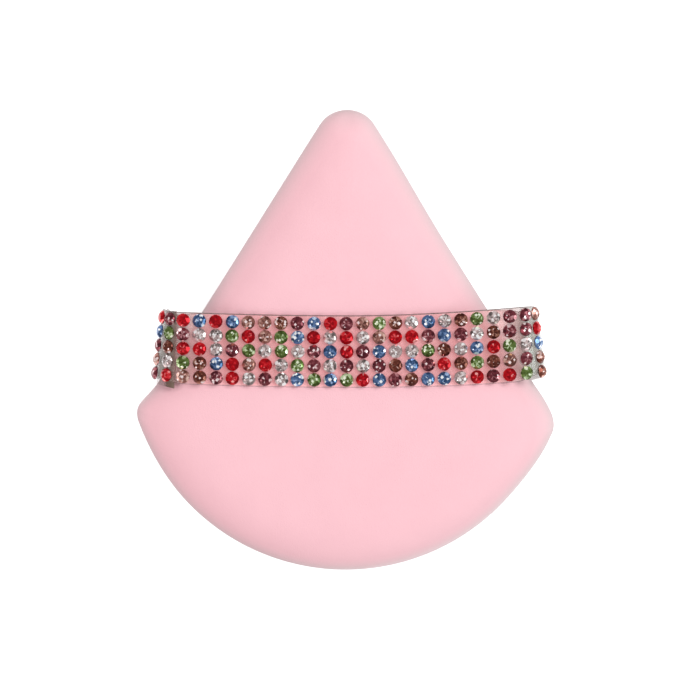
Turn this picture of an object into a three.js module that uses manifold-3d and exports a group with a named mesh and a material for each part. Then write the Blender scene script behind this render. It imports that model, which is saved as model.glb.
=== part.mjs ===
// A powder puff: a soft three-cornered pad in a velour cover, with a clear band of stones round it.
// Millimetres. The puff lies on its powder face, +Z is up and +Y runs to the tip.
import * as THREE from "three";
import { mergeVertices } from "three/addons/utils/BufferGeometryUtils.js";
import Module from "manifold-3d";

const wasm = await Module();
wasm.setup();

// The puff in plan
const PUFF_LENGTH = 86.4; // from the bowed edge to the tip
const PUFF_WIDTH = 77.2; // across the two lower corners
const TIP_RADIUS = 5.6;
const CORNER_RADIUS = 4.5;
const BOW_EXTRA = 2.1; // how much the bowed edge's radius exceeds half the width

// The puff through its thickness
const SEAM_HEIGHT = 7.4; // the seam round the edge, above the table
const BELLY_RISE = 6.9; // the top of the belly above the seam
const WAIST_RISE = 6.3; // the top under the band above the seam
const TIP_RISE = 5.7; // both faces from the seam at the tip
const EDGE_ROLL = 9; // how far the rounded edge reaches in
const CROWN_REACH = 26; // how far in the upper face goes on rising
const CROWN_SHARE = 0.12; // the part of the upper face's rise that lies past the rounded edge
const BELLY_SLOPE = 14; // the length over which the belly draws in to the band
const COVER_THICKNESS = 1.4;
const THREAD_DIAMETER = 0.6;
const INNER_CLEARANCE = 0.3; // between cover, thread and core

// The stones
const STONE_DIAMETER = 2.4;
const TABLE_DIAMETER = 1.25; // the flat top facet
const GIRDLE_HEIGHT = 0.15;
const CROWN_HEIGHT = 0.4;
const STONE_FACETS = 8;
const STONE_ROWS = 5;
const STONE_COLUMNS = 25;
const ROW_GAP = 0.17; // between neighbouring stones across the band
const END_STONE_TURN = 64; // degrees round the bend to the end columns on a central band
const STONE_OFFSET = 0.2; // how far right of the puff's middle the middle column sits
const GLUE_THICKNESS = 0.15;
const GLUE_MARGIN = 0.1; // how far the glue shows round the stones
const GLUE_SINK = 0.05; // how deep each stone sits in its glue
const GLUE_CLEARANCE = 0.05;

// The band
const BAND_CENTRE = -1.25; // its middle line, from the middle of the puff's length
const BAND_OFFSET = 0.7; // how far right of the puff's middle the loop sits
const BAND_MARGIN = 0.4; // bare film beside the outer rows
const FILM_THICKNESS = 0.5;
const BEND_RADIUS = 5.6; // at the middle of the film
const BAND_CLEARANCE = 0.4; // between the film and the two faces of the puff
const SIDE_CLEARANCE = 0.25; // between the lapped end's lower corner and the puff's edge
const END_FLARE = 2.2; // how much further out the ends lie at the lower edge than at the upper
const FLARE_START = 0.66; // the share of the half length where the flare begins
const LEFT_LIFT = 0.85; // how much nearer the tip the upper run's ends lie than its middle
const RIGHT_LIFT = 1.7;
const LEFT_UNDER_LIFT = -1.4; // the same for the run under the puff
const RIGHT_UNDER_LIFT = -0.9;
const LAP_GAP = 0.25; // between the two lapped ends of the strip
const LAP_TURN = 28; // degrees round the upper bend to the strip's inner end
const BOND_THICKNESS = 0.15;

// How finely the curves are stepped
const TIP_STEPS = 6;
const CORNER_STEPS = 4;
const SIDE_STEPS = 12;
const BOWED_STEPS = 18;
const THREAD_SIDES = 6;
const BEND_STEPS = 8;
const RUN_STEPS = 20;
const MERGE_DISTANCE = 1e-4; // points closer than this are one
const OUTER_SCALES = [1, 0.994, 0.977, 0.95, 0.915, 0.87, 0.815, 0.75, 0.66, 0.54, 0.4, 0.25, 0.12];
const INNER_SCALES = [1, 0.97, 0.9, 0.8, 0.66, 0.4, 0.2];

const rowPitch = STONE_DIAMETER + ROW_GAP;
const stoneRun = (STONE_ROWS - 1) * rowPitch + STONE_DIAMETER;
const bandWidth = stoneRun + 2 * BAND_MARGIN;
const tipY = PUFF_LENGTH / 2;
const waistY = BAND_CENTRE - bandWidth / 2 - BAND_CLEARANCE;
const waistDrop = SEAM_HEIGHT - FILM_THICKNESS - BAND_CLEARANCE;

// The outline is three rounded corners joined by two straight sides and one bowed edge.
const tipCentre = new THREE.Vector2(0, tipY - TIP_RADIUS);
const bowedRadius = PUFF_WIDTH / 2 + BOW_EXTRA;
const bowCentre = new THREE.Vector2(0, bowedRadius - PUFF_LENGTH / 2);
const cornerX = PUFF_WIDTH / 2 - CORNER_RADIUS;
const cornerDrop = Math.sqrt((bowedRadius - CORNER_RADIUS) ** 2 - cornerX ** 2);
const cornerCentre = new THREE.Vector2(cornerX, bowCentre.y - cornerDrop);
const sideLine = cornerCentre.clone().sub(tipCentre);
const sideTurn = Math.acos((TIP_RADIUS - CORNER_RADIUS) / sideLine.length());
const sideAngle = Math.atan2(sideLine.y, sideLine.x) + sideTurn; // of the right side's outward normal
const bowAngle = Math.atan2(-cornerDrop, cornerX); // where the bowed edge meets the right corner

const arc = (x, y, radius, from, to) => new THREE.EllipseCurve(x, y, radius, radius, from, to);

// The outline drawn in by an even distance, as plan points counterclockwise from the right corner.
function outline(inset) {
  const corner = CORNER_RADIUS - inset;
  const right = arc(cornerX, cornerCentre.y, corner, bowAngle, sideAngle);
  const tip = arc(0, tipCentre.y, TIP_RADIUS - inset, sideAngle, Math.PI - sideAngle);
  const left = arc(-cornerX, cornerCentre.y, corner, Math.PI - sideAngle, Math.PI - bowAngle);
  const bowEnd = 2 * Math.PI + bowAngle;
  const bow = arc(0, bowCentre.y, bowedRadius - inset, Math.PI - bowAngle, bowEnd);
  const edges = [
    [right, CORNER_STEPS],
    [new THREE.LineCurve(right.getPoint(1), tip.getPoint(0)), SIDE_STEPS],
    [tip, TIP_STEPS],
    [new THREE.LineCurve(tip.getPoint(1), left.getPoint(0)), SIDE_STEPS],
    [left, CORNER_STEPS],
    [bow, BOWED_STEPS],
  ];
  return edges.flatMap(([curve, steps]) => curve.getPoints(steps).slice(0, -1));
}

// Half the width of the puff at a place on its straight side.
function halfWidth(y) {
  const reach = tipCentre.y * Math.sin(sideAngle) + TIP_RADIUS;
  return (reach - y * Math.sin(sideAngle)) / Math.cos(sideAngle);
}

const roll = (share) => Math.sqrt(1 - (1 - Math.min(share, 1)) ** 2);

// How far a face stands from the seam: full over the belly, drawn in at the band, thin at the tip.
function riseAt(y, belly, waist) {
  if (y < waistY) {
    const near = THREE.MathUtils.smoothstep(y, waistY - BELLY_SLOPE, waistY);
    return THREE.MathUtils.lerp(belly, waist, near);
  }
  return THREE.MathUtils.lerp(waist, TIP_RISE, THREE.MathUtils.smoothstep(y, waistY, tipY));
}

// Rings of points from the seam in to the middle of one face of the puff, drawn in by an inset.
function faceRings(inset, scales, upper) {
  const edge = outline(inset).map((p) => new THREE.Vector3(p.x, p.y, 0));
  const sides = edge.map((p, i) => new THREE.Line3(p, edge[(i + 1) % edge.length]));
  const middle = new THREE.Vector3(0, waistY, 0);
  const near = new THREE.Vector3();
  const placed = (p) => {
    const gaps = sides.map((side) => side.closestPointToPoint(p, true, near).distanceTo(p));
    const gap = Math.min(...gaps);
    const edgeShare = roll(gap / (EDGE_ROLL - inset));
    const crownShare = roll(gap / CROWN_REACH);
    const upperShare = THREE.MathUtils.lerp(edgeShare, crownShare, CROWN_SHARE);
    const rise = upper ? riseAt(p.y, BELLY_RISE, WAIST_RISE) : riseAt(p.y, SEAM_HEIGHT, waistDrop);
    const height = (rise - inset) * (upper ? upperShare : -edgeShare);
    return new THREE.Vector3(p.x, p.y, SEAM_HEIGHT + height);
  };
  const rings = scales.map((scale) => edge.map((p) => placed(middle.clone().lerp(p, scale))));
  return { rings, middle: placed(middle) };
}

// Triangles between two rings of the same count; they face up when the second ring is the inner.
const between = (first, second) =>
  first.flatMap((p, i) => {
    const next = (i + 1) % first.length;
    return [p, first[next], second[next], p, second[next], second[i]];
  });

// All the triangles of one face, facing up or facing down.
function faceSkin({ rings, middle }, facingUp) {
  const last = rings[rings.length - 1];
  const next = (i) => last[(i + 1) % last.length];
  const fan = last.flatMap((p, i) => (facingUp ? [p, next(i), middle] : [next(i), p, middle]));
  const strips = rings.slice(1).map((ring, i) =>
    facingUp ? between(rings[i], ring) : between(ring, rings[i]),
  );
  return strips.flat().concat(fan);
}

const fromPoints = (points) =>
  mergeVertices(new THREE.BufferGeometry().setFromPoints(points), MERGE_DISTANCE);

// Half of the velour cover: a skin of even thickness that ends on the seam.
function coverGeometry(upper) {
  const outside = faceRings(0, OUTER_SCALES, upper);
  const inside = faceRings(COVER_THICKNESS, INNER_SCALES, upper);
  const rim = upper
    ? between(inside.rings[0], outside.rings[0])
    : between(outside.rings[0], inside.rings[0]);
  return fromPoints([...faceSkin(outside, upper), ...faceSkin(inside, !upper), ...rim]);
}

const threadInset = COVER_THICKNESS + INNER_CLEARANCE + THREAD_DIAMETER / 2;
const coreInset = threadInset + THREAD_DIAMETER / 2 + INNER_CLEARANCE;

function coreGeometry() {
  const upper = faceRings(coreInset, INNER_SCALES, true);
  const lower = faceRings(coreInset, INNER_SCALES, false);
  return fromPoints([...faceSkin(upper, true), ...faceSkin(lower, false)]);
}

// The sewing thread, a closed line round the inside of the seam.
function threadGeometry() {
  const rings = Array.from({ length: THREAD_SIDES }, (_, i) => {
    const angle = (2 * Math.PI * i) / THREAD_SIDES;
    const inset = threadInset - (THREAD_DIAMETER / 2) * Math.cos(angle);
    const height = SEAM_HEIGHT + (THREAD_DIAMETER / 2) * Math.sin(angle);
    return outline(inset).map((p) => new THREE.Vector3(p.x, p.y, height));
  });
  return fromPoints(rings.flatMap((ring, i) => between(ring, rings[(i + 1) % THREAD_SIDES])));
}

// The band in section, seen from the lower edge: x to the right and height up.
const lowerRun = FILM_THICKNESS / 2;
const upperRun = SEAM_HEIGHT + WAIST_RISE + BAND_CLEARANCE + FILM_THICKNESS / 2;
const lapStep = FILM_THICKNESS + LAP_GAP; // how far inside the outer end the inner end lies
const puffHalf = halfWidth(BAND_CENTRE + LEFT_LIFT - bandWidth / 2); // at the lapped lower corner
const lapHalf = puffHalf + SIDE_CLEARANCE + lapStep; // out to the face under the outer end
const lowerHalf = lapHalf + FILM_THICKNESS / 2 + BAND_OFFSET;
const bandHalf = lowerHalf - END_FLARE / 2; // at the band's middle line
const bendX = bandHalf - BEND_RADIUS; // where the flat runs end
const endTurn = THREE.MathUtils.degToRad(END_STONE_TURN);
const columnPitch = (2 * (bendX + BEND_RADIUS * endTurn)) / (STONE_COLUMNS - 1);
const upperBendZ = upperRun - BEND_RADIUS;
const lowerBendZ = lowerRun + BEND_RADIUS;
const quarter = Math.PI / 2;
const lapStart = quarter + THREE.MathUtils.degToRad(LAP_TURN);
const line = (x0, z0, x1, z1) =>
  new THREE.LineCurve(new THREE.Vector2(x0, z0), new THREE.Vector2(x1, z1));

// The strip's path from its inner end, round under the puff and over it, to its outer end.
const innerBend = BEND_RADIUS - lapStep;
const innerX = bandHalf - lapStep;
const stripPath = [
  [arc(-bendX, upperBendZ, innerBend, lapStart, 2 * quarter), BEND_STEPS],
  [line(-innerX, upperBendZ, -innerX, lowerBendZ), 1],
  [arc(BEND_RADIUS - innerX, lowerBendZ, BEND_RADIUS, 2 * quarter, 3 * quarter), BEND_STEPS],
  [line(BEND_RADIUS - innerX, lowerRun, bendX, lowerRun), RUN_STEPS],
  [arc(bendX, lowerBendZ, BEND_RADIUS, 3 * quarter, 4 * quarter), BEND_STEPS],
  [line(bandHalf, lowerBendZ, bandHalf, upperBendZ), 1],
  [arc(bendX, upperBendZ, BEND_RADIUS, 0, quarter), BEND_STEPS],
  [line(bendX, upperRun, -bendX, upperRun), RUN_STEPS],
  [arc(-bendX, upperBendZ, BEND_RADIUS, quarter, 2 * quarter), BEND_STEPS],
  [line(-bandHalf, upperBendZ, -bandHalf, lowerBendZ), 1],
];
const bondRadius = BEND_RADIUS - lapStep / 2;
const bondX = bandHalf - lapStep / 2;
const bondPath = [
  [arc(-bendX, upperBendZ, bondRadius, lapStart, 2 * quarter), BEND_STEPS],
  [line(-bondX, upperBendZ, -bondX, lowerBendZ), 1],
];

// A place on the band: the ends flare out towards the lower edge, and over the puff near the tip.
function bandPoint(x, across, z) {
  const flareX = FLARE_START * bandHalf;
  const reach = (Math.abs(x) - flareX) / (innerX - flareX);
  const flare = END_FLARE * THREE.MathUtils.clamp(reach, 0, 1) ** 3;
  const outward = Math.sign(x) * flare * (-across / bandWidth);
  const over = x < 0 ? LEFT_LIFT : RIGHT_LIFT;
  const under = x < 0 ? LEFT_UNDER_LIFT : RIGHT_UNDER_LIFT;
  const skew = THREE.MathUtils.smoothstep(z, 0, x < 0 ? SEAM_HEIGHT : upperRun);
  const endLift = THREE.MathUtils.lerp(under, over, skew);
  const y = BAND_CENTRE + across + endLift * (x / bandHalf) ** 2;
  return new THREE.Vector3(BAND_OFFSET + x + outward, y, z);
}

// A flat strip that follows a path in section, with its outer face on the path's right-hand side.
function stripGeometry(path, thickness, width) {
  const stations = path.flatMap(([curve, steps], i) => {
    const count = i === path.length - 1 ? steps + 1 : steps;
    return Array.from({ length: count }, (_, k) => {
      const at = curve.getPoint(k / steps);
      const along = curve.getTangent(k / steps);
      const out = new THREE.Vector2(along.y, -along.x).multiplyScalar(thickness / 2);
      return [
        bandPoint(at.x + out.x, -width / 2, at.y + out.y),
        bandPoint(at.x + out.x, width / 2, at.y + out.y),
        bandPoint(at.x - out.x, width / 2, at.y - out.y),
        bandPoint(at.x - out.x, -width / 2, at.y - out.y),
      ];
    });
  });
  const [a, b, c, d] = stations[0];
  const [e, f, g, h] = stations[stations.length - 1];
  const walls = stations.slice(1).flatMap((station, i) => between(stations[i], station));
  return fromPoints([...walls, a, c, b, a, d, c, e, f, g, e, g, h]);
}

// A closed geometry as a solid for joining, without the empty triangles on its axis.
function solidOf(geometry) {
  const bare = geometry.clone().deleteAttribute("normal").deleteAttribute("uv");
  const merged = mergeVertices(bare, MERGE_DISTANCE);
  const corners = Array.from(merged.index.array);
  const kept = [];
  for (let i = 0; i < corners.length; i += 3) {
    const triangle = corners.slice(i, i + 3);
    if (new Set(triangle).size === 3) kept.push(...triangle);
  }
  const vertProperties = merged.attributes.position.array;
  const triVerts = new Uint32Array(kept);
  return new wasm.Manifold(new wasm.Mesh({ numProp: 3, vertProperties, triVerts }));
}

// Five faceted flat-back stones across the band, joined by their bed of glue.
function columnGeometry() {
  const girdle = GLUE_THICKNESS + GIRDLE_HEIGHT;
  const profile = [
    [0, GLUE_THICKNESS - GLUE_SINK],
    [STONE_DIAMETER / 2, GLUE_THICKNESS - GLUE_SINK],
    [STONE_DIAMETER / 2, girdle],
    [TABLE_DIAMETER / 2, girdle + CROWN_HEIGHT],
    [0, girdle + CROWN_HEIGHT],
  ].map(([x, y]) => new THREE.Vector2(x, y));
  const stone = new THREE.LatheGeometry(profile, STONE_FACETS).rotateX(Math.PI / 2);
  const bedWidth = STONE_DIAMETER + 2 * GLUE_MARGIN;
  const bedLength = stoneRun + 2 * GLUE_MARGIN;
  const bed = new THREE.BoxGeometry(bedWidth, bedLength, GLUE_THICKNESS);
  let column = solidOf(bed.translate(0, 0, GLUE_THICKNESS / 2));
  for (let row = 0; row < STONE_ROWS; row += 1) {
    const across = (row - (STONE_ROWS - 1) / 2) * rowPitch;
    column = column.add(solidOf(stone.clone().translate(0, across, 0)));
  }
  const { vertProperties, triVerts } = column.getMesh();
  return new THREE.BufferGeometry()
    .setAttribute("position", new THREE.BufferAttribute(vertProperties, 3))
    .setIndex(new THREE.BufferAttribute(triVerts, 1));
}

// Where the outer face of the band lies, and which way it looks, at a length along the upper run.
function bandSeat(along) {
  const bendStart = Math.min(Math.abs(along), bendX);
  const turned = Math.min((Math.abs(along) - bendStart) / BEND_RADIUS, quarter);
  const below = Math.abs(along) - bendStart - turned * BEND_RADIUS;
  const radius = BEND_RADIUS + FILM_THICKNESS / 2 + GLUE_CLEARANCE;
  const side = Math.sign(along) || 1;
  const x = side * (bendStart + radius * Math.sin(turned));
  const z = upperBendZ + radius * Math.cos(turned) - below;
  const up = bandPoint(x, bandWidth / 2, z).sub(bandPoint(x, -bandWidth / 2, z)).normalize();
  const round = new THREE.Vector3(Math.cos(turned), 0, -side * Math.sin(turned));
  const out = round.cross(up).normalize();
  const right = up.clone().cross(out);
  return new THREE.Matrix4().makeBasis(right, up, out).setPosition(bandPoint(x, 0, z));
}

const velour = { color: 0xf2b9c1, roughness: 0.95, metalness: 0 };
const foam = { color: 0xf3e6d8, roughness: 0.9, metalness: 0 };
const thread = { color: 0xe9a9b4, roughness: 0.8, metalness: 0 };
const film = { color: 0xe6dcdc, roughness: 0.15, metalness: 0 };
const glue = { color: 0xd8d2c8, roughness: 0.3, metalness: 0 };
const crystal = { color: 0x9a6f86, roughness: 0.05, metalness: 0 };

function piece(name, geometry, look) {
  const mesh = new THREE.Mesh(geometry, new THREE.MeshStandardMaterial(look));
  mesh.name = name;
  return mesh;
}

const puff = new THREE.Group();
puff.add(piece("back_cover", coverGeometry(true), velour));
puff.add(piece("front_cover", coverGeometry(false), velour));
puff.add(piece("foam_core", coreGeometry(), foam));
puff.add(piece("seam_thread", threadGeometry(), thread));

const band = new THREE.Group();
band.add(piece("band_strip", stripGeometry(stripPath, FILM_THICKNESS, bandWidth), film));
band.add(piece("lap_bond", stripGeometry(bondPath, BOND_THICKNESS, stoneRun), glue));
const stones = columnGeometry();
for (let column = 1; column <= STONE_COLUMNS; column += 1) {
  const along = (column - (STONE_COLUMNS + 1) / 2) * columnPitch + STONE_OFFSET - BAND_OFFSET;
  const mesh = piece("stone_column_" + String(column).padStart(2, "0"), stones, crystal);
  mesh.applyMatrix4(bandSeat(along));
  band.add(mesh);
}

const powderPuff = new THREE.Group();
powderPuff.add(puff, band);
export default powderPuff;
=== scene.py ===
import math
import random

import bmesh
import bpy
import numpy as np
from mathutils import Matrix, Vector
from mathutils.kdtree import KDTree


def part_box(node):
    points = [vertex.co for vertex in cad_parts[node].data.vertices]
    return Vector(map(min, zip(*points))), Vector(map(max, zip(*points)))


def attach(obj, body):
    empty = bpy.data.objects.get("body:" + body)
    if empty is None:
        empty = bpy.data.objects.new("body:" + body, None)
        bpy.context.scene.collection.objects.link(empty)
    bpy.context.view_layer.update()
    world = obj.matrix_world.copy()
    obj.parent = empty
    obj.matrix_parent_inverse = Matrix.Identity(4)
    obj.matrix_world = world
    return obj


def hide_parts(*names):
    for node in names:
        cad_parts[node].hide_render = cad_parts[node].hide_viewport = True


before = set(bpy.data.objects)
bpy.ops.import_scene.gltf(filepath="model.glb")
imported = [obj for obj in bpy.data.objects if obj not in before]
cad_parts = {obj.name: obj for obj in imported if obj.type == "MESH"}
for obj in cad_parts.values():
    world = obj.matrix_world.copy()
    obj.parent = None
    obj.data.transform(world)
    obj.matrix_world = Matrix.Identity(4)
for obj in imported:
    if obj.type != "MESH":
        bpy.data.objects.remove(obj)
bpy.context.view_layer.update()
MM = 0.001  # pieces are shaped in millimetres and scaled to metres when they are finished

# The puff: +Y runs to the tip, +Z is up, and the powder face lies on the table.
cover_low, cover_high = (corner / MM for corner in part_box("back_cover"))
PUFF_LENGTH = cover_high.y - cover_low.y
PUFF_WIDTH = 77.2
TIP_RADIUS = 5.6
CORNER_RADIUS = 4.5
BOW_EXTRA = 2.1  # how much the bowed edge's radius exceeds half the width
SEAM_HEIGHT = cover_low.z
BELLY_RISE = cover_high.z - cover_low.z  # from the seam to the back, where it is fullest
WAIST_RISE = 6.3  # the same under the band
TIP_RISE = 5.7  # the same at the tip
BELLY_SLOPE = 14.0  # how long the slope is from the belly to the band
EDGE_ROLL = 9.0  # how far in from the seam the edge rolls over
CROWN_REACH = 26.0  # how far in from the seam the back goes on rising a little
CROWN_SHARE = 0.12  # how much of the back's form is that long rise
RIDGE_EASE = 2.5  # the larger, the sharper the ridges where the sides' slopes meet
TOUCHING = 1e-6  # the least gap to the seam, so that nothing is divided by nought
PAINTED_SHEEN_EDGE = 4.5  # how far from the seam the pile is painted paler, a painted sheen

# The marks of sewing: the seam drawn in by its stitches, uneven corners and a leaning tip.
SEAM_DEPTH = 0.5  # how far the stitches draw the seam in
STITCH_VARY = 0.35  # the share by which they draw it in more and less by turns
CORNER_SAG = 1.1  # the left corner is this much higher than drawn, and the right one lower
CORNER_FULLNESS = 0.45  # how far the sides bulge out below the band
FULL_START = 2.5  # how far below the band they are at their fullest
UNEVEN_END = 30.0  # below the middle, where sag and bulge have died away
TIP_LEAN = 0.6  # how far the right flank of the tip leans out
LEAN_START, LEAN_END = 18.0, 38.0  # above the middle, where it begins to lean and leans fully
LEAN_BLEND = 3.0  # how gently the left flank passes into the right one

# How finely the skin is made: points along each part of the seam, then rings by degrees round the
# rolled edge, and then by their share of the way out from the middle.
CORNER_POINTS, TIP_POINTS, BOW_POINTS, SIDE_POINTS = 14, 20, 62, 40
STRAIGHT_SIDES = 2
EDGE_TURNS = 0, 2.5, 5, 9, 14, 20, 27, 35, 43, 51
FACE_SHARES = 0.955, 0.9, 0.835, 0.76, 0.68, 0.59, 0.5, 0.41, 0.32, 0.23, 0.14, 0.06

# How the cover swells over its core.
SWELL_PRESSURE = 4.0
SWELL_QUALITY = 6
SWELL_STEPS = 20
SWELL_CAP = 0.8  # the most that the cover moves
SWELL_EASE = 2.0  # how far round each point the movement is evened out
STILL = 1e-9  # the least movement, so that nothing is divided by nought
BAND_HOLD, BAND_FREE = 0.5, 4.0  # past the band's edges, where the cover is still held and is free
SEAM_HOLD, SEAM_FREE = 0.8, 3.0  # the same above and below the seam

# The band: a strip of film in a loop, lapped and bonded at the left.
film_low, film_high = (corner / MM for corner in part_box("band_strip"))
FILM_THICKNESS = 0.5
FILM_ROUNDING = 0.2
BAND_WIDTH = 13.48
BAND_CENTRE = -1.25  # along the puff, from its middle
BAND_OFFSET = 0.85  # to the right of the puff's middle
BAND_CLEARANCE = 0.4  # between the film and the velour
BEND_RADIUS = 5.6
END_REACH = 1.35  # how far the film's corners reach past the middle of its ends
END_FLARE = 1.75  # how much further out the ends lie at the lower edge than at the upper one
FLARE_START = 0.8  # the share of the way to the ends where the flare begins
LEFT_LIFT, RIGHT_LIFT = 0.85, 1.7  # how much nearer the tip the ends lie than the middle
LEFT_UNDER_LIFT, RIGHT_UNDER_LIFT = -1.4, -0.9  # the same for the run under the puff
RIGHT_SPREAD = 0.035  # the share by which the band is wider at its right end
UPPER_TRIM, LEFT_TRIM, RIGHT_TRIM = 0.2, 0.5, 1.2  # how much the edges are cut back at the ends
TRIM_START = 1.0  # how far past the start of the bends that begins
SHARP_EDGE = 1.0  # edges that turn more than this, in radians, are rounded over
CUT_EDGE_SLANT = 0.25  # faces that turn more than this to the side belong to the cut edge
HAZE_START = 24.0  # from the middle, where the film begins to look hazy and to take on painted shade
HAZE_LEAN = 0.08  # how far the haze leans out for each millimetre towards the lower edge
EDGE_PLACE = 6.0  # from the band's middle, just short of its two cut edges
LAP_STEP = 0.75  # how far the film's inner end lies inside its outer end
LAP_TURN = 28.0  # degrees down the left bend to the inner end
BOND_THICKNESS = 0.15
BOND_ROUNDING = 0.03
BOND_INSET = 0.2  # from the film's upper edge
GLUE_BEAD = 1.1  # how far the glue has run out past the film's lower edge
GLUE_LINE = 1.8  # how wide the glue's dark line is
STRIP_ROWS, RUN_STEPS, BEND_STEPS, LAP_STEPS, END_STEPS = 4, 40, 20, 16, 3

BAND_HALF = (film_high.x - film_low.x) / 2 - END_REACH
INNER_X = BAND_HALF - LAP_STEP
BEND_X = BAND_HALF - BEND_RADIUS
UPPER_RUN = film_high.z - FILM_THICKNESS / 2
LOWER_RUN = FILM_THICKNESS / 2
UPPER_BEND = UPPER_RUN - BEND_RADIUS
LOWER_BEND = LOWER_RUN + BEND_RADIUS
LAP_LINE = BEND_X + (BEND_RADIUS - LAP_STEP) * math.sin(math.radians(LAP_TURN))
WAIST_Y = BAND_CENTRE - BAND_WIDTH / 2 - BAND_CLEARANCE
WAIST_DROP = SEAM_HEIGHT - FILM_THICKNESS - BAND_CLEARANCE

# The stones: five to a column, set side by side along the upper run and round its bends.
STONE_DIAMETER = 2.53
TABLE_DIAMETER = 1.25
STONE_BASE = 0.02  # above the film
GIRDLE_TOP = 0.22
STONE_TOP = 0.7
STONE_SIDES = 8
GIRDLE_ALLOWANCE = 1.067  # the blank is larger than the stone, because its corners are cut off
TABLE_ALLOWANCE = 1.2
GIRDLE_CUT = 0.224  # as a share of the blank's radius
TABLE_CUT = 0.19
SAME_LEVEL = 0.01
FLAT_FACE = 0.9  # faces that point up or down more than this are the table and the base
FIRST_FACET = 0.1  # a turn, in radians, that keeps the first facet of each ring clear of the start
ROW_PITCH = 2.62
ROWS = 5
COLUMNS = 25
END_STONE_TURN = 64.0  # degrees down the bends to the last columns
STONE_OFFSET = 0.2  # how far right of the puff's middle the middle column sits
COLUMN_PITCH = 2 * (BEND_X + BEND_RADIUS * math.radians(END_STONE_TURN)) / (COLUMNS - 1)
STONE_DRIFT = 0.06  # how far a stone may sit from its place along the band
STONE_TIP = 2.0  # how many degrees it may be tipped
STONE_SEED = 334
BRIGHT_SHARE = 0.15  # how many of the facets are painted bright, as painted reflections
BRIGHT_TONES = 0.65, 0.85
DULL_TONES = 0.0, 0.55
GLINTS = 1200.0  # places for a glint in a metre
GLINT_CHOICE = 0.01  # how narrow the step is between places with a glint and without
GLINT_CORE, GLINT_RIM = 0.4, 0.5  # as shares of a place, where a glint is whitest and where it ends
WHITE = (1.0, 1.0, 1.0)
BLUSH = (1.0, 0.84, 0.84)

# Each colour of stone: how many, its share of painted glints, and its shades from dark to brightest,
# which painted facet reflections and glints range over.
STONES = {
    "clear": (22, 1.0, (0.12, 0.1, 0.095), (0.62, 0.47, 0.46), (0.96, 0.89, 0.88), WHITE),
    "red": (22, 0.1, (0.24, 0.0, 0.004), (0.52, 0.002, 0.008), (0.8, 0.04, 0.05), (1.0, 0.42, 0.4)),
    "mauve": (24, 0.5, (0.07, 0.01, 0.016), (0.2, 0.036, 0.048), (0.55, 0.23, 0.25), BLUSH),
    "blue": (18, 0.7, (0.02, 0.05, 0.12), (0.095, 0.175, 0.36), (0.4, 0.56, 0.84), WHITE),
    "green": (15, 0.6, (0.045, 0.065, 0.01), (0.135, 0.205, 0.05), (0.6, 0.74, 0.42), (0.95, 1.0, 0.8)),
    "brown": (14, 0.45, (0.06, 0.012, 0.008), (0.185, 0.048, 0.03), (0.55, 0.27, 0.2), BLUSH),
    "champagne": (10, 0.6, (0.11, 0.04, 0.03), (0.34, 0.14, 0.115), (0.8, 0.5, 0.42), BLUSH),
}

# The stage: the photograph's view through a long lens, over a pale floor.
CAMERA_TILT = 6.0
CAMERA_TARGET = (0.84, -1.68, 7.4)
CAMERA_DISTANCE = 0.7  # in metres
SENSOR_WIDTH = 36.0
PICTURE_PIXELS = 700
PIXEL_SIZE = 0.18689
FLOOR_HALF = 3.0  # in metres
FLOOR_DROP = 0.02  # below the puff
ROOM_LIGHT = 0.53

# Each lamp: its place and size in metres, its power and its colour.
LAMPS = {
    "key": ((0.3, 0.3, 0.65), 0.35, 3.1, WHITE),
    "fill": ((-0.45, -0.26, 0.53), 0.5, 1.95, (1.0, 0.88, 0.91)),
    "right": ((0.6, -0.1, 0.2), 0.3, 1.3, (0.78, 1.0, 0.98)),
}


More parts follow.
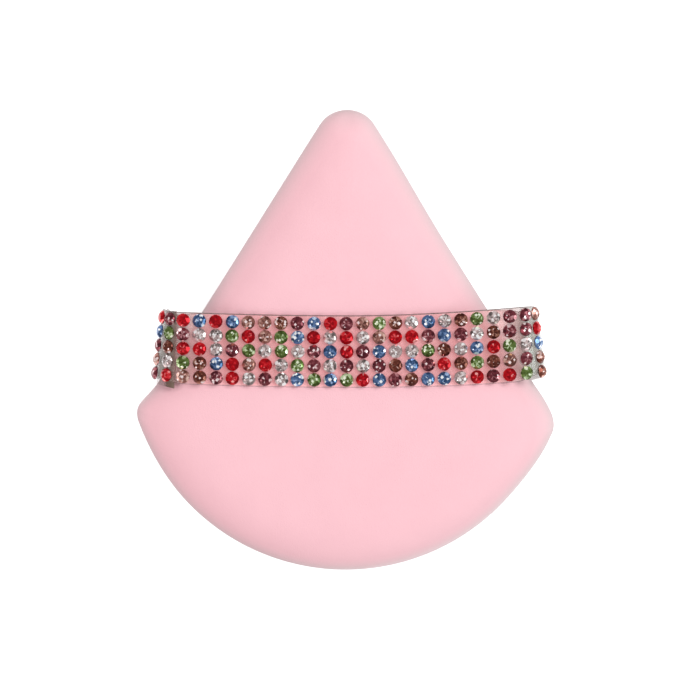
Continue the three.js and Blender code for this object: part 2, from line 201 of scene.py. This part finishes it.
class Finish:
    """A material on the Principled shader, with patterns that lie on Object coordinates."""

    def __init__(self, name, **values):
        self.material = bpy.data.materials.new(name)
        self.material.use_nodes = True
        self.tree = self.material.node_tree
        self.shader = self.tree.nodes["Principled BSDF"]
        self.place = self.tree.nodes.new("ShaderNodeTexCoord").outputs["Object"]
        for socket, value in values.items():
            self.shader.inputs[socket.replace("_", " ")].default_value = value

    def add(self, kind, output, links, **values):
        node = self.tree.nodes.new("ShaderNode" + kind)
        for socket, value in values.items():
            node.inputs[socket].default_value = value
        for socket, source in links.items():
            self.tree.links.new(source, node.inputs[socket])
        return node.outputs[output]

    def feed(self, socket, source):
        self.tree.links.new(source, self.shader.inputs[socket])

    def maths(self, operation, first, second=0.0):
        """Works on a value with another value or with a plain number."""
        result = self.add("Math", "Value", {0: first})
        result.node.operation = operation
        if isinstance(second, float):
            result.node.inputs[1].default_value = second
        else:
            self.tree.links.new(second, result.node.inputs[1])
        return result

    def between(self, value, low, high, start, end):
        """Turns the range from low to high into the one from start to end."""
        limits = {"From Min": low, "From Max": high, "To Min": start, "To Max": end}
        return self.add("MapRange", "Result", {"Value": value}, **limits)

    def away(self, coordinate, middle):
        """How far a coordinate lies from a middle value, on either side."""
        return self.maths("ABSOLUTE", self.maths("SUBTRACT", coordinate, middle * MM))

    def reach(self, start, end):
        """From 0 to 1 between two distances from the band's middle, along lines that flare out."""
        x = self.add("SeparateXYZ", "X", {"Vector": self.place})
        lean = self.maths("MULTIPLY", x.node.outputs["Y"], HAZE_LEAN)
        distance = self.maths("ADD", self.away(x, BAND_OFFSET), lean)
        return self.between(distance, start * MM, end * MM, 0, 1)

    def noise(self, scale, detail=2.0):
        return self.add("TexNoise", "Fac", {"Vector": self.place}, Scale=scale, Detail=detail)

    def glints(self, share):
        """Painted glints: small spots, 1 in the middle of each, at a share of the places where one
        could be.
        """
        spot = self.add("TexVoronoi", "Distance", {"Vector": self.place}, Scale=GLINTS)
        spot.node.distance = "MANHATTAN"
        chance = self.add("SeparateColor", "Red", {"Color": spot.node.outputs["Color"]})
        lit = self.between(chance, 1 - share, 1 - share + GLINT_CHOICE, 0, 1)
        return self.maths("MULTIPLY", lit, self.between(spot, GLINT_CORE, GLINT_RIM, 1, 0))

    def ramp(self, value, *stops):
        colour = self.add("ValToRGB", "Color", {"Fac": value})
        elements = colour.node.color_ramp.elements
        while len(elements) < len(stops):
            elements.new(1.0)
        for element, (position, shade) in zip(elements, stops):
            element.position = position
            element.color = (*shade, 1.0)
        return colour

    def mottle(self, noise, first, second):
        """Colours the piece with two shades that pass into each other."""
        self.feed("Base Color", self.ramp(noise, (0.3, first), (0.7, second)))

    def bump(self, height, distance, strength, under=None):
        links = {"Height": height}
        if under:
            links["Normal"] = under
        return self.add("Bump", "Normal", links, Distance=distance, Strength=strength)


def velour_finish():
    """Short velour pile with a painted sheen: paler and greyer round the edge, most of all on the lit
    right side.
    """
    finish = Finish(
        "pink_velour", Roughness=0.95, Specular_IOR_Level=0.1,
        Sheen_Weight=1.0, Sheen_Roughness=0.4, Sheen_Tint=(1.0, 0.95, 0.95, 1.0),
    )
    z = finish.add("SeparateXYZ", "Z", {"Vector": finish.place})
    from_seam = finish.away(z, SEAM_HEIGHT)
    half = PUFF_WIDTH / 2 * MM
    # painted sheen: the rim is painted paler and greyer, more on the right, where the lamps light it
    lit_right = finish.between(z.node.outputs["X"], -half, half, 0.75, 1.5)
    painted_sheen = finish.between(from_seam, 0, PAINTED_SHEEN_EDGE * MM, 1, 0)
    edge = finish.maths("MULTIPLY", painted_sheen, lit_right)
    nap = finish.noise(scale=150.0, detail=5.0)
    tone = finish.maths("ADD", edge, finish.between(nap, 0.3, 0.7, 0, 0.1))
    # the last shade, at the rim, is the painted sheen's colour
    face, nap_tips, painted_sheen_rim = (0.8, 0.472, 0.517), (0.82, 0.486, 0.531), (0.765, 0.55, 0.57)
    finish.feed("Base Color", finish.ramp(tone, (0.0, face), (0.1, nap_tips), (1.0, painted_sheen_rim)))
    pile = finish.bump(finish.noise(scale=4200.0), distance=0.00012, strength=0.5)
    finish.feed("Normal", finish.bump(nap, distance=0.0005, strength=0.12, under=pile))
    return finish.material


def film_finish():
    """Clear film with painted pink light from the puff, hazier and with painted brown and grey shade
    where it is bent.
    """
    finish = Finish("clear_film", Roughness=0.12, IOR=1.46)
    bent = finish.reach(HAZE_START, BAND_HALF)
    # pink is painted light bounced from the puff; dull, brown and grey are painted shade inside the
    # bends
    pink, dull = (1.0, 0.47, 0.46), (0.64, 0.37, 0.36)
    brown, grey = (0.27, 0.145, 0.125), (0.36, 0.33, 0.29)
    tints = (0.1, pink), (0.5, dull), (0.7, brown), (0.82, grey)
    finish.feed("Base Color", finish.ramp(bent, *tints))
    haze = (0.1, 0.24), (0.3, 0.34), (0.7, 0.44), (0.9, 0.5)
    finish.feed("Alpha", finish.ramp(bent, *[(place, (amount,) * 3) for place, amount in haze]))
    return finish.material


def film_edge_finish():
    """The cut edge of the film, painted dark for the light that it traps, most of all the upper one."""
    finish = Finish("film_cut_edge", Roughness=0.3, IOR=1.46)
    y = finish.add("SeparateXYZ", "Y", {"Vector": finish.place})
    lower, upper = (BAND_CENTRE - EDGE_PLACE) * MM, (BAND_CENTRE + EDGE_PLACE) * MM
    finish.feed("Alpha", finish.between(y, lower, upper, 0.22, 0.65))
    # painted shade: the dark look of the edge's refraction, drawn as colour
    finish.mottle(finish.noise(scale=700.0, detail=3.0), (0.13, 0.08, 0.07), (0.22, 0.15, 0.14))
    return finish.material


def bond_finish():
    """Glue that is dark brown in a line along the inner end of the lap and thin beyond it."""
    finish = Finish("lap_glue", Roughness=0.4, IOR=1.46)
    finish.mottle(finish.noise(scale=400.0, detail=3.0), (0.085, 0.05, 0.03), (0.15, 0.095, 0.06))
    thin = finish.reach(LAP_LINE, LAP_LINE + GLUE_LINE)
    finish.feed("Alpha", finish.between(thin, 0.5, 1, 0.95, 0.15))
    return finish.material


def stone_finish(name, glints, dark, body, light, brightest):
    """Foil-backed glass: each facet has a painted reflection tone of its own, and painted glints lie
    over them.
    """
    finish = Finish("stone_" + name, Metallic=0.6, Roughness=0.1, Specular_IOR_Level=0.3)
    facet = finish.add("Attribute", "Fac", {})
    facet.node.attribute_name = "painted_facet_reflection"
    # a painted shimmer across the facets
    gleam = finish.between(finish.noise(scale=1500.0), 0.3, 0.7, -0.2, 0.2)
    tone = finish.maths("ADD", finish.maths("ADD", facet, gleam), finish.glints(glints))
    shades = (0.0, dark), (0.45, body), (0.75, light), (0.95, brightest)
    finish.feed("Base Color", finish.ramp(tone, *shades))
    return finish.material


def hidden_finishes():
    """Finishes for the solids that stay out of sight inside the cover."""
    foam = Finish("core_foam", Roughness=0.9)
    cells = foam.noise(scale=900.0, detail=4.0)
    foam.mottle(cells, (0.82, 0.72, 0.62), (0.9, 0.82, 0.72))
    foam.feed("Normal", foam.bump(cells, distance=0.0004, strength=0.5))
    thread = Finish("seam_thread", Roughness=0.7)
    thread.mottle(thread.noise(scale=2600.0), (0.70, 0.36, 0.40), (0.80, 0.45, 0.49))
    for node, finish in (("foam_core", foam), ("seam_thread", thread)):
        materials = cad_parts[node].data.materials
        materials.clear()
        materials.append(finish.material)


def finish_piece(name, bm, body, nodes, slot, *materials):
    """Makes the shaped mesh a piece that rides on a body, and hides the CAD nodes that it stands for.
    """
    mesh = bpy.data.meshes.new(name)
    bm.to_mesh(mesh)
    bm.free()
    mesh.transform(Matrix.Scale(MM, 4))
    for material in materials:
        mesh.materials.append(material)
    piece = bpy.data.objects.new(name, mesh)
    bpy.context.scene.collection.objects.link(piece)
    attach(piece, body)
    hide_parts(*nodes)
    return piece


def ease(x, low, high):
    """From 0 to 1 between two values, with a gentle start and end."""
    share = np.clip((x - low) / (high - low), 0, 1)
    return share * share * (3 - 2 * share)


# The seam line in plan: three rounded corners, two straight sides and one bowed edge.
bowed_radius = PUFF_WIDTH / 2 + BOW_EXTRA
tip_y = PUFF_LENGTH / 2 - TIP_RADIUS
bow_y = bowed_radius - PUFF_LENGTH / 2
corner_x = PUFF_WIDTH / 2 - CORNER_RADIUS
corner_drop = math.sqrt((bowed_radius - CORNER_RADIUS) ** 2 - corner_x ** 2)
corner_y = bow_y - corner_drop
side_turn = math.acos((TIP_RADIUS - CORNER_RADIUS) / math.hypot(corner_x, corner_y - tip_y))
side_angle = math.atan2(corner_y - tip_y, corner_x) + side_turn
bow_angle = math.atan2(-corner_drop, corner_x)


def seam_line():
    """Plan points along the seam, counterclockwise, and the outward direction at each."""
    left_side, left_bow = math.pi - side_angle, math.pi - bow_angle
    curves = [
        (corner_x, corner_y, CORNER_RADIUS, bow_angle, side_angle, CORNER_POINTS),
        (0, tip_y, TIP_RADIUS, side_angle, left_side, TIP_POINTS),
        (-corner_x, corner_y, CORNER_RADIUS, left_side, left_bow, CORNER_POINTS),
        (0, bow_y, bowed_radius, left_bow, 2 * math.pi + bow_angle, BOW_POINTS),
    ]
    points, outward = [], []
    for index, (x, y, radius, start, end, count) in enumerate(curves):
        side_follows = index < STRAIGHT_SIDES
        turns = np.linspace(start, end, count, endpoint=side_follows)
        way = np.stack([np.cos(turns), np.sin(turns)], 1)
        points.append((x, y) + radius * way)
        outward.append(way)
        if side_follows:
            next_x, next_y, next_radius = curves[index + 1][:3]
            goal = (next_x, next_y) + next_radius * way[-1]
            shares = np.linspace(0, 1, SIDE_POINTS)[1:-1, None]
            points.append(points[-1][-1] * (1 - shares) + goal * shares)
            outward.append(np.repeat(way[-1:], len(shares), 0))
    return np.concatenate(points), np.concatenate(outward)


def seam_gap(plan, seam):
    """How far inside the seam line each plan point lies, with the ridges between sides eased."""
    step = np.roll(seam, -1, 0) - seam
    away = plan[:, None] - seam[None]
    share = np.clip((away * step).sum(2) / (step ** 2).sum(1), 0, 1)
    gaps = np.linalg.norm(away - share[..., None] * step, axis=2)
    ends = [np.argmax(seam[:, 0]), np.argmax(seam[:, 1]), np.argmin(seam[:, 0])]
    sides = np.split(np.roll(gaps, -ends[0], 1), np.cumsum(np.diff(ends)), 1)
    nearest = np.maximum([side.min(1) for side in sides], TOUCHING)
    return (nearest ** -RIDGE_EASE).sum(0) ** (-1 / RIDGE_EASE)


def roll(share):
    """The height of a quarter round at a share of its width."""
    return np.sqrt(1 - (1 - np.minimum(share, 1)) ** 2)


def face_height(plan, seam, side):
    """How far a face stands from the seam: full over the belly, drawn in at the band."""
    y = plan[:, 1]
    gap = seam_gap(plan, seam)
    belly, waist = (BELLY_RISE, WAIST_RISE) if side > 0 else (SEAM_HEIGHT, WAIST_DROP)
    below = belly + (waist - belly) * ease(y, WAIST_Y - BELLY_SLOPE, WAIST_Y)
    above = waist + (TIP_RISE - waist) * ease(y, WAIST_Y, PUFF_LENGTH / 2)
    share = roll(gap / EDGE_ROLL)
    if side > 0:
        share = share + (roll(gap / CROWN_REACH) - share) * CROWN_SHARE
    return np.where(y < WAIST_Y, below, above) * share


def loft(rings):
    """A closed skin through rings of points, from one pole to the other."""
    bm = bmesh.new()
    edges = []
    for index, points in enumerate(rings):
        ends = index in (0, len(rings) - 1)
        circle = bmesh.ops.create_circle(bm, cap_ends=ends, segments=len(points), radius=1.0)
        for vert, point in zip(circle["verts"], points):
            vert.co = point
        edges.append(list({edge for vert in circle["verts"] for edge in vert.link_edges}))
    for first, second in zip(edges, edges[1:]):
        bmesh.ops.bridge_loops(bm, edges=first + second)
    bmesh.ops.poke(bm, faces=[face for face in bm.faces if len(face.verts) > 4])
    bmesh.ops.recalc_face_normals(bm, faces=bm.faces[:])
    for face in bm.faces:
        face.smooth = True
    return bm


def sewn_uneven(points):
    """The sewn puff's small faults: one corner higher, both of them full, and a leaning tip."""
    x, y, z = points.T
    fading = 1 - ease(-y, -corner_y, UNEVEN_END)
    low = ease(-y, -WAIST_Y, -corner_y) * fading
    full = ease(-y, -WAIST_Y, FULL_START - WAIST_Y) * fading
    lean = TIP_LEAN * ease(y, LEAN_START, LEAN_END) * (1 + np.tanh(x / LEAN_BLEND)) / 2
    side = x / (PUFF_WIDTH / 2)
    uneven_x = x + CORNER_FULLNESS * side * full + lean
    return np.column_stack([uneven_x, y - CORNER_SAG * side * low, z])


def puff_skin():
    """The velour skin: rings that roll in from the seam, then close on the middle."""
    seam, outward = seam_line()
    middle = np.array([0, BAND_CENTRE])
    plans = [seam - outward * EDGE_ROLL * (1 - math.cos(turn)) for turn in np.radians(EDGE_TURNS)]
    plans += [middle + (plans[-1] - middle) * share for share in FACE_SHARES]
    rings = []
    for side in (-1, 1):
        for plan in plans[::-1] if side < 0 else plans[1:]:
            height = SEAM_HEIGHT + side * face_height(plan, seam, side)
            rings.append(np.column_stack([plan, height]))
    stitches = SEAM_DEPTH * (1 + STITCH_VARY * (-1) ** np.arange(len(seam)))
    rings[len(plans) - 1][:, :2] -= outward * stitches[:, None]
    return loft([sewn_uneven(ring) for ring in rings])


def swell_velour(piece):
    """Lets the cover swell over its core as cloth, held along the seam and under the band."""
    mesh = piece.data
    rest = np.empty(len(mesh.vertices) * 3)
    mesh.vertices.foreach_get("co", rest)
    rest = rest.reshape(-1, 3)
    across = np.abs(rest[:, 1] / MM - BAND_CENTRE)
    height = np.abs(rest[:, 2] / MM - SEAM_HEIGHT)
    under_band = 1 - ease(across, BAND_WIDTH / 2 + BAND_HOLD, BAND_WIDTH / 2 + BAND_FREE)
    hold = np.maximum(under_band, 1 - ease(height, SEAM_HOLD, SEAM_FREE))
    held = piece.vertex_groups.new(name="held")
    for index, weight in enumerate(hold):
        held.add([index], float(weight), "REPLACE")
    cloth = piece.modifiers.new("swell", "CLOTH")
    cloth.settings.quality = SWELL_QUALITY
    cloth.settings.vertex_group_mass = "held"
    cloth.settings.use_pressure = True
    cloth.settings.uniform_pressure_force = SWELL_PRESSURE
    cloth.settings.effector_weights.gravity = 0.0
    cloth.collision_settings.use_collision = False
    cloth.point_cache.frame_end = SWELL_STEPS
    for step in range(1, SWELL_STEPS + 1):
        bpy.context.scene.frame_set(step)
    swollen = np.empty_like(rest.ravel())
    shaped = piece.evaluated_get(bpy.context.evaluated_depsgraph_get())
    shaped.data.vertices.foreach_get("co", swollen)
    piece.modifiers.remove(cloth)
    piece.vertex_groups.remove(held)
    bpy.context.scene.frame_set(1)
    move = swollen.reshape(-1, 3) - rest
    spots = KDTree(len(rest))
    for index, spot in enumerate(rest):
        spots.insert(spot, index)
    spots.balance()
    reach = SWELL_EASE * MM
    near = [[index for place, index, gap in spots.find_range(spot, reach)] for spot in rest]
    move = np.array([move[group].mean(0) for group in near])
    length = np.linalg.norm(move, axis=1, keepdims=True)
    move *= np.minimum(1, SWELL_CAP * MM / np.maximum(length, STILL)) * (1 - hold[:, None])
    grown = rest + move
    grown[:, 2] = np.maximum(grown[:, 2], 0)
    mesh.vertices.foreach_set("co", grown.ravel())


def puff_piece(finish):
    """The cover with its filling, as one padded piece."""
    covers = ["back_cover", "front_cover"]
    piece = finish_piece("velour_puff", puff_skin(), "puff", covers, "velour", finish)
    swell_velour(piece)
    smooth = piece.modifiers.new("smooth", "SUBSURF")
    smooth.levels = smooth.render_levels = 1


def spread(x):
    """How much wider the band is than drawn, which grows to the right."""
    return 1 + RIGHT_SPREAD * ease(x, 0, BEND_X)


def band_place(x, across, z):
    """A place on the band: its ends flare out, nearer the tip above the puff and further off below."""
    flare_x = FLARE_START * BAND_HALF
    reach = min(max((abs(x) - flare_x) / (INNER_X - flare_x), 0), 1) ** 3
    outward = math.copysign(END_FLARE * reach, x) * -across / BAND_WIDTH
    over, under = (LEFT_LIFT, LEFT_UNDER_LIFT) if x < 0 else (RIGHT_LIFT, RIGHT_UNDER_LIFT)
    skew = ease(z, 0, SEAM_HEIGHT if x < 0 else UPPER_RUN)
    lift = (under + (over - under) * skew) * (x / BAND_HALF) ** 2
    return Vector((BAND_OFFSET + x + outward, BAND_CENTRE + across * spread(x) + lift, z))


def straight(x0, z0, x1, z1, steps):
    """Stations along a straight run, each a place and the way out from it."""
    out = Vector((z1 - z0, 0, x0 - x1)).normalized()
    for share in np.linspace(0, 1, steps, endpoint=False):
        yield Vector((x0 + (x1 - x0) * share, 0, z0 + (z1 - z0) * share)), out


def bend(x, z, radius, start, end, steps):
    """Stations round a bend, from one angle to another."""
    for turn in np.radians(np.linspace(start, end, steps, endpoint=False)):
        out = Vector((math.cos(turn), 0, math.sin(turn)))
        yield Vector((x, 0, z)) + radius * out, out


def strip_stations():
    """The film's middle line in section, from its inner end, under the puff, to its outer end."""
    inner = BEND_RADIUS - LAP_STEP
    left_x = BEND_RADIUS - INNER_X
    return [
        *bend(-BEND_X, UPPER_BEND, inner, 90 + LAP_TURN, 180, LAP_STEPS),
        *straight(-INNER_X, UPPER_BEND, -INNER_X, LOWER_BEND, END_STEPS),
        *bend(left_x, LOWER_BEND, BEND_RADIUS, 180, 270, BEND_STEPS),
        *straight(left_x, LOWER_RUN, BEND_X, LOWER_RUN, RUN_STEPS),
        *bend(BEND_X, LOWER_BEND, BEND_RADIUS, 270, 360, BEND_STEPS),
        *straight(BAND_HALF, LOWER_BEND, BAND_HALF, UPPER_BEND, END_STEPS),
        *bend(BEND_X, UPPER_BEND, BEND_RADIUS, 0, 90, BEND_STEPS),
        *straight(BEND_X, UPPER_RUN, -BEND_X, UPPER_RUN, RUN_STEPS),
        *bend(-BEND_X, UPPER_BEND, BEND_RADIUS, 90, 180, BEND_STEPS),
        *straight(-BAND_HALF, UPPER_BEND, -BAND_HALF, LOWER_BEND, END_STEPS),
        (Vector((-BAND_HALF, 0, LOWER_BEND)), Vector((-1, 0, 0))),
    ]


def bond_stations():
    """The middle line of the glue, between the two laps of film."""
    radius = BEND_RADIUS - LAP_STEP / 2
    x = BAND_HALF - LAP_STEP / 2
    return [
        *bend(-BEND_X, UPPER_BEND, radius, 90 + LAP_TURN, 180, LAP_STEPS),
        *straight(-x, UPPER_BEND, -x, LOWER_BEND, END_STEPS),
        (Vector((-x, 0, LOWER_BEND)), Vector((-1, 0, 0))),
    ]


def bent_strip(stations, thickness, lower, upper, rounding):
    """A flat strip between two edges, laid along stations, thickened and rounded over."""
    bm = bmesh.new()
    last = len(stations) - 1
    bmesh.ops.create_grid(bm, x_segments=last, y_segments=STRIP_ROWS, size=1.0)
    for vert in bm.verts:
        at, out = stations[round((vert.co.x + 1) / 2 * last)]
        across = lower + (upper - lower) * (vert.co.y + 1) / 2
        vert.co = at - out * thickness / 2
        vert.co.y = across
    bmesh.ops.recalc_face_normals(bm, faces=bm.faces[:])
    bmesh.ops.solidify(bm, geom=bm.faces[:], thickness=thickness)
    bmesh.ops.recalc_face_normals(bm, faces=bm.faces[:])
    rims = [edge for edge in bm.edges if edge.calc_face_angle(0) > SHARP_EDGE]
    bmesh.ops.bevel(
        bm, geom=rims, offset=rounding, segments=2, profile=0.5, affect="EDGES", material=-1,
    )
    for face in bm.faces:
        face.smooth = True
        face.material_index = int(abs(face.normal.y) > CUT_EDGE_SLANT)
    for vert in bm.verts:
        x, across, z = vert.co
        trim = UPPER_TRIM if across > 0 else LEFT_TRIM if x < 0 else RIGHT_TRIM
        trim *= ease(abs(x), BEND_X + TRIM_START, BAND_HALF)
        vert.co = band_place(x, across * (1 - 2 * trim / BAND_WIDTH), z)
    return bm


def band_pieces(film, cut_edge, bond):
    """The loop of film, and the glue in its lap, which has run out along the lower edge."""
    half = BAND_WIDTH / 2
    strip = bent_strip(strip_stations(), FILM_THICKNESS, -half, half, FILM_ROUNDING)
    band = finish_piece("clear_band", strip, "band", ["band_strip"], "clear_film", film, cut_edge)
    band.visible_shadow = False
    lower, upper = -half - GLUE_BEAD, half - BOND_INSET
    glue = bent_strip(bond_stations(), BOND_THICKNESS, lower, upper, BOND_ROUNDING)
    finish_piece("lap_glue", glue, "band", ["lap_bond"], "bond", bond, bond)


def seat(along):
    """The film's outer face at a length along the upper run, as a place with +Z outward."""
    flat = min(abs(along), BEND_X)
    turned = (abs(along) - flat) / BEND_RADIUS
    side = math.copysign(1, along)
    radius = BEND_RADIUS + FILM_THICKNESS / 2
    x = side * (flat + radius * math.sin(turned))
    z = UPPER_BEND + radius * math.cos(turned)
    up = (band_place(x, 1, z) - band_place(x, -1, z)).normalized()
    out = Vector((math.cos(turned), 0, -side * math.sin(turned))).cross(up).normalized()
    place = Matrix((up.cross(out), up, out)).transposed().to_4x4()
    place.translation = band_place(x, 0, z)
    return place


def facet_order(face):
    """Facets from the base up and round the stone, so that the dice fall the same in each run."""
    centre = face.calc_center_median()
    return round(centre.z, 2), (math.atan2(centre.y, centre.x) + FIRST_FACET) % math.tau


def add_stone(bm, place, colour, dice):
    """One flat-back stone, cut with main, star and girdle facets round a table."""
    old_verts = set(bm.verts)
    old_faces = set(bm.faces)
    tone = bm.faces.layers.float["painted_facet_reflection"]
    girdle_radius = STONE_DIAMETER / 2 * GIRDLE_ALLOWANCE
    table_radius = TABLE_DIAMETER / 2 * TABLE_ALLOWANCE
    crown = STONE_TOP - GIRDLE_TOP
    bmesh.ops.create_cone(
        bm, cap_ends=True, segments=STONE_SIDES, radius1=girdle_radius, radius2=table_radius,
        depth=crown, matrix=Matrix.Translation((0, 0, GIRDLE_TOP + crown / 2)),
    )
    corners = [vert for vert in bm.verts if vert not in old_verts]
    for level, cut in ((GIRDLE_TOP, GIRDLE_CUT * girdle_radius), (STONE_TOP, TABLE_CUT)):
        ring = [vert for vert in corners if vert.is_valid and abs(vert.co.z - level) < SAME_LEVEL]
        bmesh.ops.bevel(
            bm, geom=ring, offset=cut, segments=1, profile=0.5, affect="VERTICES", material=-1,
        )
    base = [face for face in bm.faces if face not in old_faces and face.normal.z < -FLAT_FACE]
    skirt = bmesh.ops.extrude_face_region(bm, geom=base)["geom"]
    bmesh.ops.delete(bm, geom=base, context="FACES_ONLY")
    for vert in skirt:
        if isinstance(vert, bmesh.types.BMVert):
            vert.co.z = STONE_BASE
    table = [face for face in bm.faces if face not in old_faces and face.normal.z > FLAT_FACE]
    bmesh.ops.poke(bm, faces=table)
    facets = [face for face in bm.faces if face not in old_faces]
    for face in sorted(facets, key=facet_order):
        face.material_index = colour
        # each facet's tone is a painted reflection: a few bright, the rest dull
        tones = BRIGHT_TONES if dice.random() < BRIGHT_SHARE else DULL_TONES
        face[tone] = dice.uniform(*tones)
    new_verts = [vert for vert in bm.verts if vert not in old_verts]
    bmesh.ops.transform(bm, matrix=place, verts=new_verts)


def stone_pieces(stones):
    """Columns of stones in a chance mix of colours, each stone turned and tipped a little."""
    dice = random.Random(STONE_SEED)
    finishes = [finish for finish, count in stones]
    mix = [index for index, (finish, count) in enumerate(stones) for each in range(count)]
    dice.shuffle(mix)
    for column in range(COLUMNS):
        along = (column - (COLUMNS - 1) / 2) * COLUMN_PITCH + STONE_OFFSET - BAND_OFFSET
        place = seat(along)
        bm = bmesh.new()
        bm.faces.layers.float.new("painted_facet_reflection")
        for row in range(ROWS):
            across = (row - (ROWS - 1) / 2) * ROW_PITCH * spread(along)
            colour = mix[column * ROWS + row]
            spot = Matrix.Translation((dice.uniform(-STONE_DRIFT, STONE_DRIFT), across, 0))
            tip = Matrix.Rotation(math.radians(dice.uniform(-STONE_TIP, STONE_TIP)), 4, "X")
            lean = Matrix.Rotation(math.radians(dice.uniform(-STONE_TIP, STONE_TIP)), 4, "Y")
            turn = Matrix.Rotation(dice.uniform(0, 2 * math.pi / STONE_SIDES), 4, "Z")
            add_stone(bm, place @ spot @ tip @ lean @ turn, colour, dice)
        number = f"{column + 1:02d}"
        node = "stone_column_" + number
        finish_piece("stones_" + number, bm, "band", [node], "crystal", *finishes)


def stage_floor():
    """A floor that glows a little, so that it looks as white as the photograph's ground."""
    bm = bmesh.new()
    below = Matrix.Translation((0, 0, -FLOOR_DROP * MM))
    bmesh.ops.create_grid(bm, x_segments=1, y_segments=1, size=FLOOR_HALF, matrix=below)
    mesh = bpy.data.meshes.new("floor")
    bm.to_mesh(mesh)
    bm.free()
    floor = bpy.data.objects.new("floor", mesh)
    bpy.context.scene.collection.objects.link(floor)
    finish = Finish(
        "pale_floor", Base_Color=(0.92, 0.92, 0.92, 1.0), Roughness=0.8,
        Emission_Color=(*WHITE, 1.0), Emission_Strength=0.6,
    )
    mesh.materials.append(finish.material)
    floor.visible_diffuse = False


def stage_light(name, place, size, power, colour):
    """A round lamp that points at the puff."""
    lamp = bpy.data.lights.new(name, "AREA")
    lamp.shape = "DISK"
    lamp.size = size
    lamp.energy = power
    lamp.color = colour
    light = bpy.data.objects.new(name, lamp)
    light.location = place
    light.rotation_euler = (-Vector(place)).to_track_quat("-Z", "Y").to_euler()
    bpy.context.scene.collection.objects.link(light)


def stage_world():
    """An even white light from all round."""
    world = bpy.data.worlds.new("studio")
    world.use_nodes = True
    background = world.node_tree.nodes["Background"]
    background.inputs["Color"].default_value = (*WHITE, 1.0)
    background.inputs["Strength"].default_value = ROOM_LIGHT
    bpy.context.scene.world = world


def stage_camera():
    """The photograph's view: nearly straight down, leaning towards the tip, through a long lens."""
    tilt = math.radians(CAMERA_TILT)
    picture_width = PICTURE_PIXELS * PIXEL_SIZE * MM
    lens = bpy.data.cameras.new("camera")
    lens.sensor_width = SENSOR_WIDTH
    lens.lens = SENSOR_WIDTH * CAMERA_DISTANCE / picture_width
    camera = bpy.data.objects.new("camera", lens)
    back = Vector((0, math.sin(tilt), math.cos(tilt)))
    camera.location = Vector(CAMERA_TARGET) * MM + CAMERA_DISTANCE * back
    camera.rotation_euler = (-tilt, 0, 0)
    bpy.context.scene.collection.objects.link(camera)
    bpy.context.scene.camera = camera
    bpy.context.scene.view_settings.view_transform = "Standard"


stage_camera()
stage_world()
stage_floor()
for lamp_name, lamp_settings in LAMPS.items():
    stage_light(lamp_name, *lamp_settings)

hidden_finishes()
puff_piece(velour_finish())
band_pieces(film_finish(), film_edge_finish(), bond_finish())
stone_pieces([(stone_finish(name, *look), count) for name, (count, *look) in STONES.items()])
